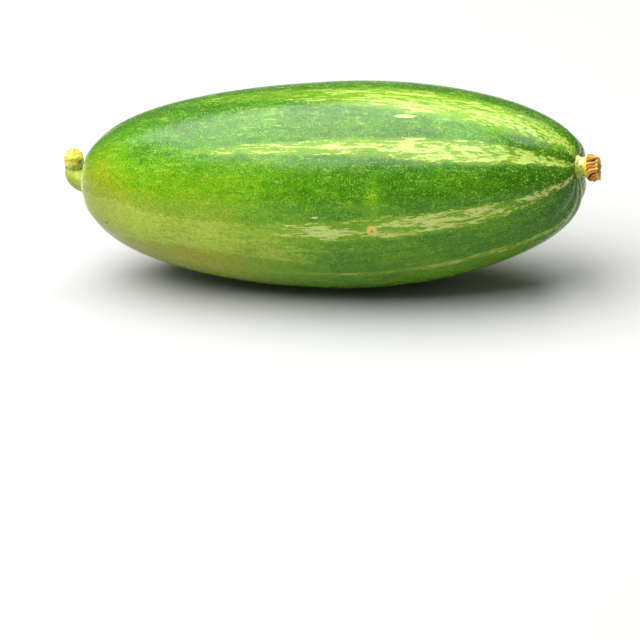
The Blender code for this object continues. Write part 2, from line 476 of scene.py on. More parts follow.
def ring_centre(t):
    """The middle of the ring at t, on the bowed and tilted axis, as rows of x, y, z."""
    t = np.asarray(t, float)
    cap = (1 - ring_radius(t) / FRUIT_RADIUS) ** POLE_SHIFT_POWER
    lift = np.where(t > 0, FLOWER_POLE_LIFT, STALK_POLE_LIFT)
    side = np.where(t > 0, FLOWER_POLE_SIDE, 0.0)
    back = np.where(t > 0, FLOWER_POLE_BACK, 0.0)
    height = AXIS_RISE * t + AXIS_BOW * t * t + lift * cap
    return np.stack([HALF_LENGTH * t - back * cap, side * cap, height], axis=-1) + np.array(AXIS_MIDDLE)


def along_skin(t):
    """The way over the skin from the fruit's middle ring to t, in mm."""
    stops = np.sin(np.linspace(-math.pi / 2, math.pi / 2, 401))
    steps = np.hypot(HALF_LENGTH * np.diff(stops), np.diff(ring_radius(stops)))
    ways = np.concatenate(([0.0], np.cumsum(steps)))
    return (np.interp(t, stops, ways) - np.interp(0.0, stops, ways)) / MM


def rolled_out(t, angle):
    """Where the skin's patterns are looked up, in mm: along it, and round a fruit with fuller ends."""
    around = np.radians(angle)
    radius = FRUIT_RADIUS / MM * (ring_radius(t) / FRUIT_RADIUS) ** PATTERN_FULLNESS
    return np.stack([along_skin(t), radius * np.cos(around), radius * np.sin(around)], axis=-1)


def cage_stations():
    """The t of each ring of the fruit's cage, closer together towards the poles."""
    start = math.asin(station_of(STALK_PIT_RADIUS, -1))
    stop = math.asin(station_of(FLOWER_PIT_RADIUS, 1))
    return [math.sin(start + (stop - start) * k / CAGE_RINGS) for k in range(CAGE_RINGS + 1)]


def keep_stations(fruit):
    """Stores each cage vertex's t. The rings were drawn in order, and the pits' four rings came last."""
    stations = cage_stations()
    pits = [stations[-1]] * 2 + [stations[0]] * 2
    keep_value(fruit, "station", np.repeat(stations + pits, CAGE_SEGMENTS))


def places_on_fruit(fruit):
    """For each vertex, t along the axis and the angle about it in degrees."""
    t = np.zeros(len(fruit.data.vertices))
    fruit.data.attributes["station"].data.foreach_get("value", t)
    off = corners_of(fruit) - ring_centre(t)
    return t, np.degrees(np.arctan2(off[:, 2], -off[:, 1]))


def turn_between(angle, middle):
    """How far angle is from middle, from -180 to 180 degrees."""
    return (angle - middle + 180.0) % 360.0 - 180.0


def relief_of(t, angle):
    """How far the skin stands off its plain rings: slow unevenness, less the furrows."""
    radius = ring_radius(t)
    cap = 1 - radius / FRUIT_RADIUS
    end_depth = np.where(t > 0, FURROW_DEPTH_FLOWER_END, FURROW_DEPTH_STALK_END)
    depth = FURROW_DEPTH_MIDDLE + end_depth * cap * np.sqrt(cap)
    furrows = sum(np.exp(-((turn_between(angle, a) / FURROW_HALF_WIDTH) ** 2)) for a in FURROW_ANGLES)
    oval = OVAL["share"] * np.sin(np.radians(2 * angle + OVAL["phase"]))
    lobes = LOBES["share"] * np.sin(np.radians(3 * angle + LOBES["phase"] + LOBES["twist"] * t))
    return radius * ((oval + lobes) * (1 - cap) - depth * furrows)


def loft_fruit():
    """The fruit's cage grows ring by ring from the stalk pit to the flower pit."""
    stations = cage_stations()
    centres = [Vector(ring_centre(t)) for t in stations]
    radii = [float(ring_radius(t)) for t in stations]
    fruit = first_ring("gourd_fruit", CAGE_SEGMENTS, radii[0], centres[0])
    for k in range(1, len(stations)):
        next_ring(centres[k] - centres[k - 1], radii[k] / radii[k - 1], centres[k])
    sink_pit(centres[-1], 1)
    bpy.ops.mesh.select_all(action="DESELECT")
    bpy.ops.mesh.select_non_manifold(extend=False)
    sink_pit(centres[0], -1)
    leave_drawn_piece()
    return fruit


def sink_pit(mouth, side):
    """The selected open ring gets a narrow lip and is pushed in and closed."""
    next_ring((0, 0, 0), 0.985, mouth)
    floor = mouth - Vector((side * PIT_DEPTH, 0, 0))
    next_ring(floor - mouth, 1.0, floor)
    bpy.ops.mesh.edge_face_add()


def press_belly(fruit):
    """The belly is cut off level where it lies, and the cut is closed."""
    edit(True)
    bpy.ops.mesh.select_all(action="SELECT")
    bpy.ops.mesh.bisect(
        plane_co=(0, 0, 0), plane_no=(0, 0, 1), use_fill=True, clear_inner=True, threshold=1e-7
    )
    bpy.ops.mesh.mark_sharp()
    edit(False)


def stripe_values(t, angle):
    """For each vertex, how far inside its nearest stripe it is, up to 1 in the middle, and its tone."""
    inside = np.full(len(t), -2.0)
    tone = np.zeros(len(t))
    for stripe in STRIPES:
        stations, middles, widths, covers = (np.array(column, float) for column in zip(*stripe["row"]))
        middle = np.interp(t, stations, middles)
        width = np.interp(t, stations, widths)
        cover = np.interp(t, stations, covers, left=-1.0)
        here = cover - (turn_between(angle, middle) / width) ** 4
        nearer = here > inside
        inside = np.where(nearer, here, inside)
        tone = np.where(nearer, np.interp(t, *zip(*stripe["tone"])), tone)
    return inside, tone


def step_between(value, low, high):
    """A smooth step from 0 at low to 1 at high."""
    share = np.clip((value - low) / (high - low), 0, 1)
    return share * share * (3 - 2 * share)


def pale_band_values(t, angle):
    """The wide pale band: 1 inside it, fading over its soft edges."""
    stations, uppers, lowers, strengths = (np.array(column, float) for column in zip(*PALE_BAND))
    upper = np.interp(t, stations, uppers)
    lower = np.interp(t, stations, lowers)
    strength = np.interp(t, stations, strengths)
    below_upper = step_between(upper - angle, -PALE_BAND_SOFTNESS, PALE_BAND_SOFTNESS)
    above_lower = step_between(angle - lower, -PALE_BAND_SOFTNESS, PALE_BAND_SOFTNESS)
    return strength * below_upper * above_lower


def stalk_cap_values(t):
    """1 at the stalk pole, fading out along the fruit."""
    return step_between(t, -0.60, -0.94)


def ripeness_values(t, angle):
    """How yellow the green is: more down the sides, most low on the stalk half, least at the flower end."""
    down_side = np.abs(turn_between(angle, 90.0)) / 180.0
    stalk_half = step_between(t, 0.30, -0.45)
    flower_cap = step_between(t, 0.70, 1.0)
    ripe = RIPE_DOWN_SIDE * down_side + RIPE_STALK_CAP * stalk_cap_values(t) + RIPE_FLOWER_CAP * flower_cap
    for side_angle, half_width, extra in RIPE_SIDES:
        ripe += extra * stalk_half * np.exp(-((turn_between(angle, side_angle) / half_width) ** 2))
    for spot_t, spot_angle, half_t, half_angle, extra in YELLOW_SPOTS:
        off = ((t - spot_t) / half_t) ** 2 + (turn_between(angle, spot_angle) / half_angle) ** 2
        ripe += extra * np.exp(-off)
    return np.clip(ripe, 0, 1.2)


def store_skin_values(fruit):
    """What the skin's finish reads: the rolled-out place, the stripes, the pale band and the ripeness."""
    t, angle = places_on_fruit(fruit)
    inside, tone = stripe_values(t, angle)
    keep_value(fruit, "rolled_out", rolled_out(t, angle))
    keep_value(fruit, "stripe", inside)
    keep_value(fruit, "stripe_tone", tone)
    keep_value(fruit, "pale_band", pale_band_values(t, angle))
    keep_value(fruit, "ripeness", ripeness_values(t, angle))
    # The stalk cap mask also carries the painted shade at the stalk end of the skin.
    keep_value(fruit, "stalk_cap", stalk_cap_values(t))
    ring_ends = np.interp(angle, *zip(*STALK_RING))
    keep_value(fruit, "stalk_ring", step_between(ring_ends - t, -STALK_RING_SOFTNESS, STALK_RING_SOFTNESS))
    keep_value(fruit, "halo", 1 - HALO_LOST * step_between(t, 0.68, 0.95))


def scar_gaps(t, angle):
    """How far each vertex is from the scar's middle, in half sizes of the scar."""
    along = (t - SCAR[0]) * HALF_LENGTH / (SCAR[2] * MM)
    across = np.radians(turn_between(angle, SCAR[1])) * FRUIT_RADIUS / (SCAR[3] * MM)
    return np.hypot(along, across)


def make_fruit():
    fruit = loft_fruit()
    keep_stations(fruit)
    apply_modifier(fruit, "SUBSURF", levels=2, render_levels=2)
    t, angle = places_on_fruit(fruit)
    relief = relief_of(t, angle) / RELIEF_FULL
    push(fruit, "raised", np.clip(relief, 0, 1), RELIEF_FULL)
    push(fruit, "furrows", np.clip(-relief, 0, 1), -RELIEF_FULL)
    roughen(fruit, "slow_swelling", SWELLING_SIZE, SWELLING_DEPTH)
    t, angle = places_on_fruit(fruit)
    push(fruit, "scar", np.exp(-(scar_gaps(t, angle) ** 2)), SCAR_RISE)
    press_belly(fruit)
    finish_mesh(fruit, 40)
    store_skin_values(fruit)
    place_piece(fruit, FRUIT_NODE, waxy_skin())


def pit_mouth(side):
    radius = FLOWER_PIT_RADIUS if side > 0 else STALK_PIT_RADIUS
    return Vector(ring_centre(station_of(radius, side)))


def stalk_radius(share):
    """The stalk's radius, from share = 0 where it leaves the fruit to 1 at the cut."""
    shares, radii = zip(*STALK_RADII)
    return float(np.interp(share, shares, radii)) * MM


def stalk_rings():
    """(centre, radius, turn from the ring before) for each ring of the stalk after the one at its mouth."""
    mouth = pit_mouth(-1)
    bend_start = mouth + Vector((-STALK_REACH, 0, 0))
    pivot = bend_start + Vector((0, 0, STALK_BEND_RADIUS))
    full_turn = math.radians(STALK_BEND_ANGLE)
    heading = Vector((-math.cos(full_turn), 0, math.sin(full_turn)))
    stops = []
    for k in range(STALK_LEVEL_STEPS):
        stops.append((mouth.lerp(bend_start, (k + 1) / STALK_LEVEL_STEPS), 0.0))
    for k in range(STALK_BEND_STEPS):
        turn = full_turn * (k + 1) / STALK_BEND_STEPS
        stops.append((pivot + Vector((-math.sin(turn), 0, -math.cos(turn))) * STALK_BEND_RADIUS, turn))
    bend_end = stops[-1][0]
    for k in range(STALK_RISE_STEPS):
        stops.append((bend_end + heading * STALK_RISE * (k + 1) / STALK_RISE_STEPS, full_turn))
    return [(centre, stalk_radius((k + 1) / len(stops)), turn) for k, (centre, turn) in enumerate(stops)]


def make_stalk():
    """The stalk is drawn out level from a ring in its pit, and turned up through the bend to its torn cut."""
    mouth = pit_mouth(-1)
    seat = mouth + Vector((SEAT_DEPTH, 0, 0))
    pivot = mouth + Vector((-STALK_REACH, 0, STALK_BEND_RADIUS))
    stalk = first_ring("cut_stalk", STALK_SEGMENTS, STALK_BASE_RADIUS, seat)
    inside = mouth + Vector((STALK_FOOT_OUT, 0, 0))
    foot = mouth - Vector((STALK_FOOT_OUT, 0, 0))
    next_ring(inside - seat, STALK_PIT_RADIUS / STALK_BASE_RADIUS, inside)
    next_ring(foot - inside, STALK_FOOT_RADIUS / STALK_PIT_RADIUS, foot)
    before, radius_before, turn_before = foot, STALK_FOOT_RADIUS, 0.0
    for centre, radius, turn in stalk_rings():
        if turn > turn_before:
            bpy.ops.mesh.spin(steps=1, angle=turn - turn_before, center=tuple(pivot), axis=(0, -1, 0))
            resize_ring(radius / radius_before, centre)
        else:
            next_ring(centre - before, radius / radius_before, centre)
        before, radius_before, turn_before = centre, radius, turn
    heading = Vector((-math.cos(turn_before), 0, math.sin(turn_before)))
    for rise, outwards, growth in STALK_DOME:
        step = heading * rise * MM + Vector((-outwards * MM, 0, 0))
        before = before + step
        next_ring(step, growth, before)
    close_ends()
    apply_modifier(stalk, "SUBSURF", levels=2, render_levels=2)
    way, around = places_on_stalk(stalk)
    ribs = 0.5 + 0.5 * np.cos(STALK_RIBS * around + 0.9)
    push(stalk, "ribs", ribs * step_between(way, 0.2, 1.5), STALK_RIB_DEPTH)
    way, around = places_on_stalk(stalk)
    keep_value(stalk, "way", way)
    keep_value(stalk, "outer", np.sin(around))
    keep_value(stalk, "around", np.stack([np.cos(around), np.sin(around), way], axis=-1))
    push(stalk, "notch", np.exp(-(notch_gaps(way, around) ** 2)), -STALK_NOTCH["depth"])
    near_cut = paint_group(stalk, "near_cut", step_between(way, STALK_CUT_FROM, STALK_CUT_WHOLE))
    roughen(stalk, "cut_lumps", *CUT_LUMPS, group=near_cut)
    roughen(stalk, "cut_crumbs", *CUT_CRUMBS, group=near_cut)
    stalk.vertex_groups.clear()
    roughen(stalk, "stalk_lumps", *STALK_LUMPS)
    finish_mesh(stalk, 60)
    place_piece(stalk, STALK_NODE, stalk_finish())


def notch_place():
    around = math.radians(STALK_NOTCH["angle"])
    return Vector((math.cos(around), math.sin(around), STALK_NOTCH["way"]))


def notch_gaps(way, around):
    """How far each vertex of the stalk is from the notch under its cut, in half sizes of the notch."""
    off = np.stack([np.cos(around), np.sin(around), way], axis=-1) - np.array(notch_place())
    return np.linalg.norm(off / np.array(STALK_NOTCH["size"]), axis=1)


def places_on_stalk(piece):
    """For each vertex, the way along the stalk from its mouth in mm, and the angle about the stalk."""
    corners = corners_of(piece)
    mouth = np.array(pit_mouth(-1))
    pivot = mouth + np.array((-STALK_REACH, 0, STALK_BEND_RADIUS))
    off = corners - pivot
    full_turn = math.radians(STALK_BEND_ANGLE)
    turn = np.clip(np.arctan2(-off[:, 0], -off[:, 2]), 0, full_turn)
    level = off[:, 0] > 0
    turn = np.where(level, 0.0, turn)
    outward = np.stack([-np.sin(turn), np.zeros(len(turn)), -np.cos(turn)], axis=-1)
    heading = np.stack([-np.cos(turn), np.zeros(len(turn)), np.sin(turn)], axis=-1)
    ahead = np.sum(off * heading, axis=1)
    way = STALK_REACH + STALK_BEND_RADIUS * turn + np.where(level | (turn >= full_turn), ahead, 0.0)
    beside = np.sum(off * outward, axis=1) - STALK_BEND_RADIUS
    return way / MM, np.arctan2(beside, -off[:, 1])


def flower_base_rings():
    """(distance out of the pit's mouth, radius) of each ring, from the seat to the blunt end."""
    brown = COLLAR_LENGTH
    return (
        (-SEAT_DEPTH, COLLAR_RADIUS),
        (-0.2 * MM, FLOWER_PIT_RADIUS),
        (0.1 * MM, FLOWER_PIT_RADIUS * 1.04),
        (brown * 0.25, COLLAR_RADIUS * 1.04),
        (brown * 0.50, COLLAR_RADIUS * 0.97),
        (brown * 0.75, COLLAR_RADIUS * 0.99),
        (brown * 0.92, COLLAR_RADIUS * 1.04),
        (brown, STUB_RADIUS * 0.92),
        (brown + STUB_LENGTH * 0.12, STUB_RADIUS * 1.01),
        (brown + STUB_LENGTH * 0.30, STUB_RADIUS * 1.03),
        (brown + STUB_LENGTH * 0.50, STUB_RADIUS * 1.00),
        (brown + STUB_LENGTH * 0.70, STUB_RADIUS * 0.94),
        (brown + STUB_LENGTH * 0.88, STUB_TIP_RADIUS * 1.12),
        (brown + STUB_LENGTH * 0.97, STUB_TIP_RADIUS * 1.02),
        (brown + STUB_LENGTH, STUB_TIP_RADIUS * 0.86),
        (brown + STUB_LENGTH * 0.98, STUB_TIP_RADIUS * 0.64),
        (brown + STUB_LENGTH * 0.92, STUB_TIP_RADIUS * 0.38),
    )


def flower_base_heading():
    turn = math.radians(FLOWER_BASE_TURN)
    return Vector((math.cos(turn), math.sin(turn), 0))


def droop_at(out):
    """How far the flower base has drooped at this distance out of its pit."""
    return STUB_DROOP * (np.maximum(out, 0.0) / (COLLAR_LENGTH + STUB_LENGTH)) ** 2


def flower_base_centre(out):
    """The middle of the flower base at this distance out of its pit. It droops a little."""
    return pit_mouth(1) + flower_base_heading() * out - Vector((0, 0, droop_at(out)))


def places_on_flower_base(piece):
    """For each vertex, the way out of the pit in mm, and the angle and distance from the drooping axis."""
    heading = np.array(flower_base_heading())
    across = np.array((heading[1], -heading[0], 0))
    off = corners_of(piece) - np.array(pit_mouth(1))
    out = off @ heading
    beside = off - out[:, None] * heading
    beside[:, 2] += droop_at(out)
    return out / MM, np.arctan2(beside[:, 2], off @ across), np.linalg.norm(beside, axis=1)


def make_flower_base():
    """The flower base is drawn out from its seat, folded lengthwise, and left rough where it dried."""
    rings = [(flower_base_centre(out), radius) for out, radius in flower_base_rings()]
    turn = math.radians(FLOWER_BASE_TURN)
    base = first_ring("dried_flower_base", STUB_SEGMENTS, rings[0][1], rings[0][0], turn)
    for (centre, radius), (centre_before, radius_before) in zip(rings[1:], rings):
        next_ring(centre - centre_before, radius / radius_before, centre)
    close_ends()
    apply_modifier(base, "SUBSURF", levels=2, render_levels=2)
    out, around, _ = places_on_flower_base(base)
    fold_turn = around + 0.12 * np.sin(1.9 * out + 2 * around) + STUB_TWIST * out
    broad_folds = np.cos(STUB_BROAD_FOLDS * fold_turn + 1.3)
    folds = 0.5 + 0.25 * np.cos(STUB_WRINKLES * fold_turn) + 0.25 * broad_folds
    fine = 0.5 + 0.5 * np.cos(STUB_FINE_FOLDS * fold_turn + 2.0 * np.sin(2 * around))
    brown = step_between(out, COLLAR_LENGTH / MM - 0.3, COLLAR_LENGTH / MM + 0.5)
    collar = step_between(out, 0.1, 0.6) * (1 - brown)
    push(base, "folds", folds * brown, -STUB_WRINKLE_DEPTH)
    push(base, "fine_folds", fine * brown, -STUB_FINE_DEPTH)
    push(base, "collar_creases", folds * collar, -COLLAR_CREASE_DEPTH)
    keep_value(base, "way", out)
    keep_value(base, "height", np.sin(around))
    from_axis = places_on_flower_base(base)[2]
    keep_value(base, "inwards", 1 - from_axis / STUB_TIP_RADIUS)
    keep_value(base, "fibre", np.stack([np.cos(fold_turn), np.sin(fold_turn), out], axis=-1))
    keep_value(base, "fold", folds * 0.6 + fine * 0.4)
    rough_end = paint_group(base, "rough_end", step_between(out, 2.0, 3.4))
    roughen(base, "dry_lumps", *DRY_LUMPS, group=rough_end)
    base.vertex_groups.clear()
    finish_mesh(base, 60)
    place_piece(base, FLOWER_NODE, dry_tissue())


class Finish:
    """One finish's node tree, with a short call for each kind of node that the finishes here use."""

    def __init__(self, name):
        self.material = bpy.data.materials.new(name)
        self.material.use_nodes = True
        self.nodes = self.material.node_tree.nodes
        self.links = self.material.node_tree.links
        self.shader = self.nodes["Principled BSDF"]

    def node(self, kind, **settings):
        made = self.nodes.new(kind)
        for name, value in settings.items():
            setattr(made, name, value)
        return made

    def feed(self, socket, value):
        """Gives a socket a number, a colour or another node's output."""
        if isinstance(value, bpy.types.NodeSocket):
            self.links.new(value, socket)
        else:
            socket.default_value = value

    def reckon(self, operation, first, second=0.0, clamp=False):
        made = self.node("ShaderNodeMath", operation=operation, use_clamp=clamp)
        self.feed(made.inputs[0], first)
        self.feed(made.inputs[1], second)
        return made.outputs[0]

    def step(self, value, low, high, bottom=0.0, top=1.0):
        """A smooth step from bottom, where value is low, to top, where it is high."""
        made = self.node("ShaderNodeMapRange", interpolation_type="SMOOTHSTEP")
        sockets = ("Value", "From Min", "From Max", "To Min", "To Max")
        for socket, given in zip(sockets, (value, low, high, bottom, top)):
            self.feed(made.inputs[socket], given)
        return made.outputs["Result"]

    def stored(self, name, kind="Fac"):
        return self.node("ShaderNodeAttribute", attribute_name=name).outputs[kind]

    def surface_mm(self):
        """The place on the piece in mm."""
        where = self.node("ShaderNodeTexCoord").outputs["Object"]
        return self.scaled(where, (1 / MM, 1 / MM, 1 / MM))

    def scaled(self, where, scale):
        made = self.node("ShaderNodeVectorMath", operation="MULTIPLY")
        self.feed(made.inputs[0], where)
        made.inputs[1].default_value = scale
        return made.outputs[0]

    def noise(self, where, scale, detail=2.0, roughness=0.5):
        made = self.node("ShaderNodeTexNoise")
        self.feed(made.inputs["Vector"], where)
        self.feed(made.inputs["Scale"], scale)
        self.feed(made.inputs["Detail"], detail)
        self.feed(made.inputs["Roughness"], roughness)
        return made.outputs["Fac"]

    def cells(self, where, scale):
        """The distance to the nearest cell's middle, and a random number for that cell."""
        made = self.node("ShaderNodeTexVoronoi")
        self.feed(made.inputs["Vector"], where)
        self.feed(made.inputs["Scale"], scale)
        split = self.node("ShaderNodeSeparateColor")
        self.feed(split.inputs[0], made.outputs["Color"])
        return made.outputs["Distance"], split.outputs[0]

    def dots(self, where, scale, size):
        """Round dots, at most one in each cell, of random sizes up to this share of a cell."""
        distance, lot = self.cells(where, scale)
        return self.step(self.reckon("SUBTRACT", self.reckon("MULTIPLY", lot, size), distance), 0.0, 0.12)

    def lean(self, *parts):
        """The sum of each (value, weight): weight times how far the value is above one half."""
        total = 0.0
        for value, weight in parts:
            above_half = self.reckon("SUBTRACT", value, 0.5)
            total = self.reckon("ADD", self.reckon("MULTIPLY", above_half, weight), total)
        return total

    def ramp(self, value, stops):
        """Colours that follow value through the stops, each (value, colour)."""
        low, high = stops[0][0], stops[-1][0]
        made = self.node("ShaderNodeValToRGB")
        elements = made.color_ramp.elements
        while len(elements) < len(stops):
            elements.new(0.5)
        for element, (place, colour) in zip(elements, stops):
            element.position = (place - low) / (high - low)
            element.color = colour
        share = self.reckon("DIVIDE", self.reckon("SUBTRACT", value, low), high - low, clamp=True)
        self.feed(made.inputs[0], share)
        return made.outputs["Color"]

    def shade(self, colour, level):
        """The colour made darker or lighter by level, where 1 leaves it as it is."""
        made = self.node("ShaderNodeMix", data_type="RGBA", blend_type="MULTIPLY")
        made.inputs[0].default_value = 1.0
        self.feed(made.inputs[6], colour)
        self.feed(made.inputs[7], level)
        return made.outputs[2]

    def mix(self, share, first, second):
        made = self.node("ShaderNodeMix", data_type="RGBA")
        self.feed(made.inputs[0], share)
        self.feed(made.inputs[6], first)
        self.feed(made.inputs[7], second)
        return made.outputs[2]

    def gap(self, where, place, half_size):
        """How far where is from place, in half sizes: 1 is the edge of a mark."""
        off = self.node("ShaderNodeVectorMath", operation="SUBTRACT")
        self.feed(off.inputs[0], where)
        off.inputs[1].default_value = place
        sized = self.scaled(off.outputs[0], tuple(1 / size for size in half_size))
        made = self.node("ShaderNodeVectorMath", operation="LENGTH")
        self.feed(made.inputs[0], sized)
        return made.outputs["Value"]

    def bump(self, height, depth, strength=1.0):
        """Relief of this depth, on top of any relief that is already there."""
        made = self.node("ShaderNodeBump")
        made.inputs["Strength"].default_value = strength
        made.inputs["Distance"].default_value = depth
        self.feed(made.inputs["Height"], height)
        normal = self.shader.inputs["Normal"]
        if normal.is_linked:
            self.feed(made.inputs["Normal"], normal.links[0].from_socket)
        self.feed(normal, made.outputs[0])


SKIN_GREENS = (
    (0.00, (0.026, 0.105, 0.001, 1.0)),
    (0.30, (0.052, 0.190, 0.001, 1.0)),
    (0.60, (0.124, 0.296, 0.001, 1.0)),
    (0.90, (0.222, 0.312, 0.001, 1.0)),
    (1.20, (0.285, 0.305, 0.001, 1.0)),
)
STREAK_GREEN = (0.200, 0.370, 0.010, 1.0)
STREAK_PALE = (0.500, 0.590, 0.170, 1.0)
STREAK_YELLOW = (0.370, 0.340, 0.035, 1.0)
# Paler ground side, with a painted reflection of the bright floor in it.
BAND_PALE_AND_REFLECTION = (0.365, 0.480, 0.045, 1.0)
RING_PALE = (0.560, 0.640, 0.200, 1.0)
NICK_BROWN = (0.110, 0.080, 0.006, 1.0)
DOT_PALE = (0.260, 0.480, 0.040, 1.0)
SCAR_TAN = (0.600, 0.490, 0.100, 1.0)
SCAR_DARK = (0.180, 0.110, 0.020, 1.0)
SKIN_IOR = 1.35
# Painted shade: how dark the skin is made at the stalk end, where that end gets less light.
STALK_CAP_PAINTED_SHADE = 0.78


def waxy_skin():
    """Green skin that yellows towards the stalk, with broken pale stripes, fine dots and a waxy shine, a pale
    band low on the stalk half that is partly a painted reflection of the floor, and painted shade at the
    stalk end.
    """
    skin = Finish("waxy_skin")
    rolled = skin.stored("rolled_out", "Vector")
    surface = skin.surface_mm()
    patches = skin.noise(skin.scaled(rolled, (0.6, 1.0, 1.0)), 0.13, 3.0, 0.55)
    mottle = skin.noise(skin.scaled(rolled, (0.45, 1.0, 1.0)), 0.9, 4.0, 0.65)
    grain = skin.noise(surface, 3.4, 2.0, 0.6)
    ripeness = skin.reckon("ADD", skin.stored("ripeness"), skin.lean((patches, 0.55), (mottle, 0.75)))
    colour = skin.ramp(ripeness, SKIN_GREENS)
    colour = skin.shade(colour, skin.step(grain, 0.30, 0.70, 0.72, 1.30))

    crowding = skin.step(skin.noise(surface, 0.55, 3.0, 0.6), 0.36, 0.62, 0.30, 1.0)
    dots = skin.dots(surface, 2.3, 0.46)
    small_dots = skin.dots(surface, 3.6, 0.48)
    all_dots = skin.reckon("MULTIPLY", skin.reckon("MAXIMUM", dots, small_dots), crowding)
    colour = skin.mix(skin.reckon("MULTIPLY", all_dots, 0.58), colour, DOT_PALE)

    # The pale band is partly a paler ground side and partly a painted reflection of the bright floor, laid
    # into the colour.
    band = skin.stored("pale_band")
    band_grain = skin.noise(skin.scaled(rolled, (0.16, 1.0, 1.0)), 1.6, 4.0, 0.7)
    band_fleck = skin.noise(skin.scaled(rolled, (0.35, 1.0, 1.0)), 3.4, 2.0, 0.6)
    band_lean = skin.lean((band_grain, 2.4), (band_fleck, 1.6), (patches, 1.2))
    band_cover = skin.step(skin.reckon("ADD", band, band_lean), 0.15, 1.15)
    band_grit = skin.reckon("ADD", band_fleck, skin.lean((grain, 0.8)))
    band_colour = skin.shade(BAND_PALE_AND_REFLECTION, skin.step(band_grit, 0.25, 0.75, 0.80, 1.16))
    colour = skin.mix(skin.reckon("MULTIPLY", band_cover, 0.80), colour, band_colour)
    # Painted shade: the skin is darkened towards the stalk end, as if that end were less lit.
    colour = skin.shade(colour, skin.step(skin.stored("stalk_cap"), 0.0, 1.0, 1.0, STALK_CAP_PAINTED_SHADE))

    broad = skin.noise(skin.scaled(rolled, (0.12, 1.0, 1.0)), 0.84, 2.0, 0.5)
    fine = skin.noise(skin.scaled(rolled, (0.09, 1.0, 1.0)), 2.3, 3.0, 0.6)
    tiny = skin.noise(skin.scaled(rolled, (0.30, 1.0, 1.0)), 3.8, 2.0, 0.6)
    streaks = skin.lean((broad, 0.42), (fine, 0.72), (tiny, 0.34))
    inside = skin.stored("stripe")
    margin = skin.reckon("MULTIPLY", skin.reckon("SUBTRACT", inside, 0.66), 0.30)
    reach = skin.reckon("ADD", streaks, margin)
    halo = skin.step(skin.reckon("ADD", inside, skin.lean((mottle, 1.2))), -0.3, 0.9, 0.0, 0.60)
    colour = skin.mix(skin.reckon("MULTIPLY", halo, skin.stored("halo")), colour, STREAK_GREEN)
    paleness = skin.reckon("MULTIPLY", skin.step(reach, -0.01, 0.07), skin.stored("stripe_tone"))
    pale = skin.mix(paleness, STREAK_GREEN, STREAK_PALE)
    yellowing = skin.step(skin.lean((mottle, 1.0), (tiny, 0.5)), 0.06, 0.16, 0.0, 0.6)
    pale = skin.mix(yellowing, pale, STREAK_YELLOW)
    cover = skin.step(reach, -0.02, 0.015)
    colour = skin.mix(skin.reckon("MULTIPLY", cover, 0.92), colour, pale)

    ring = skin.reckon("ADD", skin.stored("stalk_ring"), skin.lean((fine, 1.5), (mottle, 1.3), (tiny, 0.8)))
    ring_strength = skin.step(mottle, 0.36, 0.62, 0.46, 0.88)
    ring_cover = skin.reckon("MULTIPLY", skin.step(ring, 0.20, 1.00), ring_strength)
    colour = skin.mix(ring_cover, colour, RING_PALE)
    for marks, tint in ((PALE_MARKS, STREAK_PALE), (BROWN_NICKS, NICK_BROWN)):
        for mark in marks:
            gap = skin.gap(rolled, rolled_out(*mark[:2]), (mark[2], mark[3], mark[3]))
            gap = skin.reckon("ADD", gap, skin.lean((fine, 1.6), (tiny, 1.2)))
            colour = skin.mix(skin.step(gap, 1.15, 0.75), colour, tint)
    scar = skin.gap(rolled, rolled_out(*SCAR[:2]), (SCAR[2], SCAR[3], SCAR[3]))
    scar = skin.reckon("ADD", scar, skin.lean((tiny, 0.9)))
    colour = skin.mix(skin.step(scar, 1.15, 0.8), colour, SCAR_TAN)
    colour = skin.mix(skin.step(scar, 0.42, 0.22, 0.0, 0.8), colour, SCAR_DARK)

    skin.feed(skin.shader.inputs["Base Color"], colour)
    matte = skin.reckon("MULTIPLY", band_cover, 0.14)
    roughness = skin.reckon("ADD", skin.step(grain, 0.3, 0.7, 0.18, 0.28), matte)
    skin.feed(skin.shader.inputs["Roughness"], roughness)
    skin.shader.inputs["IOR"].default_value = SKIN_IOR
    waves = skin.noise(surface, 0.38, 2.0, 0.5)
    skin.bump(waves, 0.10 * MM)
    skin.bump(grain, 0.010 * MM)
    skin.bump(all_dots, 0.012 * MM)
    skin.bump(cover, 0.012 * MM)
    return skin.material


STALK_GREENS = (
    (0.20, (0.170, 0.220, 0.012, 1.0)),
    (0.45, (0.290, 0.370, 0.030, 1.0)),
    (0.62, (0.380, 0.440, 0.050, 1.0)),
    (0.80, (0.460, 0.520, 0.110, 1.0)),
)
STALK_GREY = (0.250, 0.270, 0.090, 1.0)
# Painted shade: the dark green laid into the stalk's groove.
GROOVE_PAINTED_SHADE = (0.120, 0.135, 0.010, 1.0)
CUT_YELLOWS = (
    (0.25, (0.330, 0.300, 0.006, 1.0)),
    (0.42, (0.500, 0.440, 0.020, 1.0)),
    (0.56, (0.620, 0.560, 0.070, 1.0)),
    (0.72, (0.720, 0.690, 0.190, 1.0)),
)
NOTCH_BROWN = (0.130, 0.095, 0.003, 1.0)


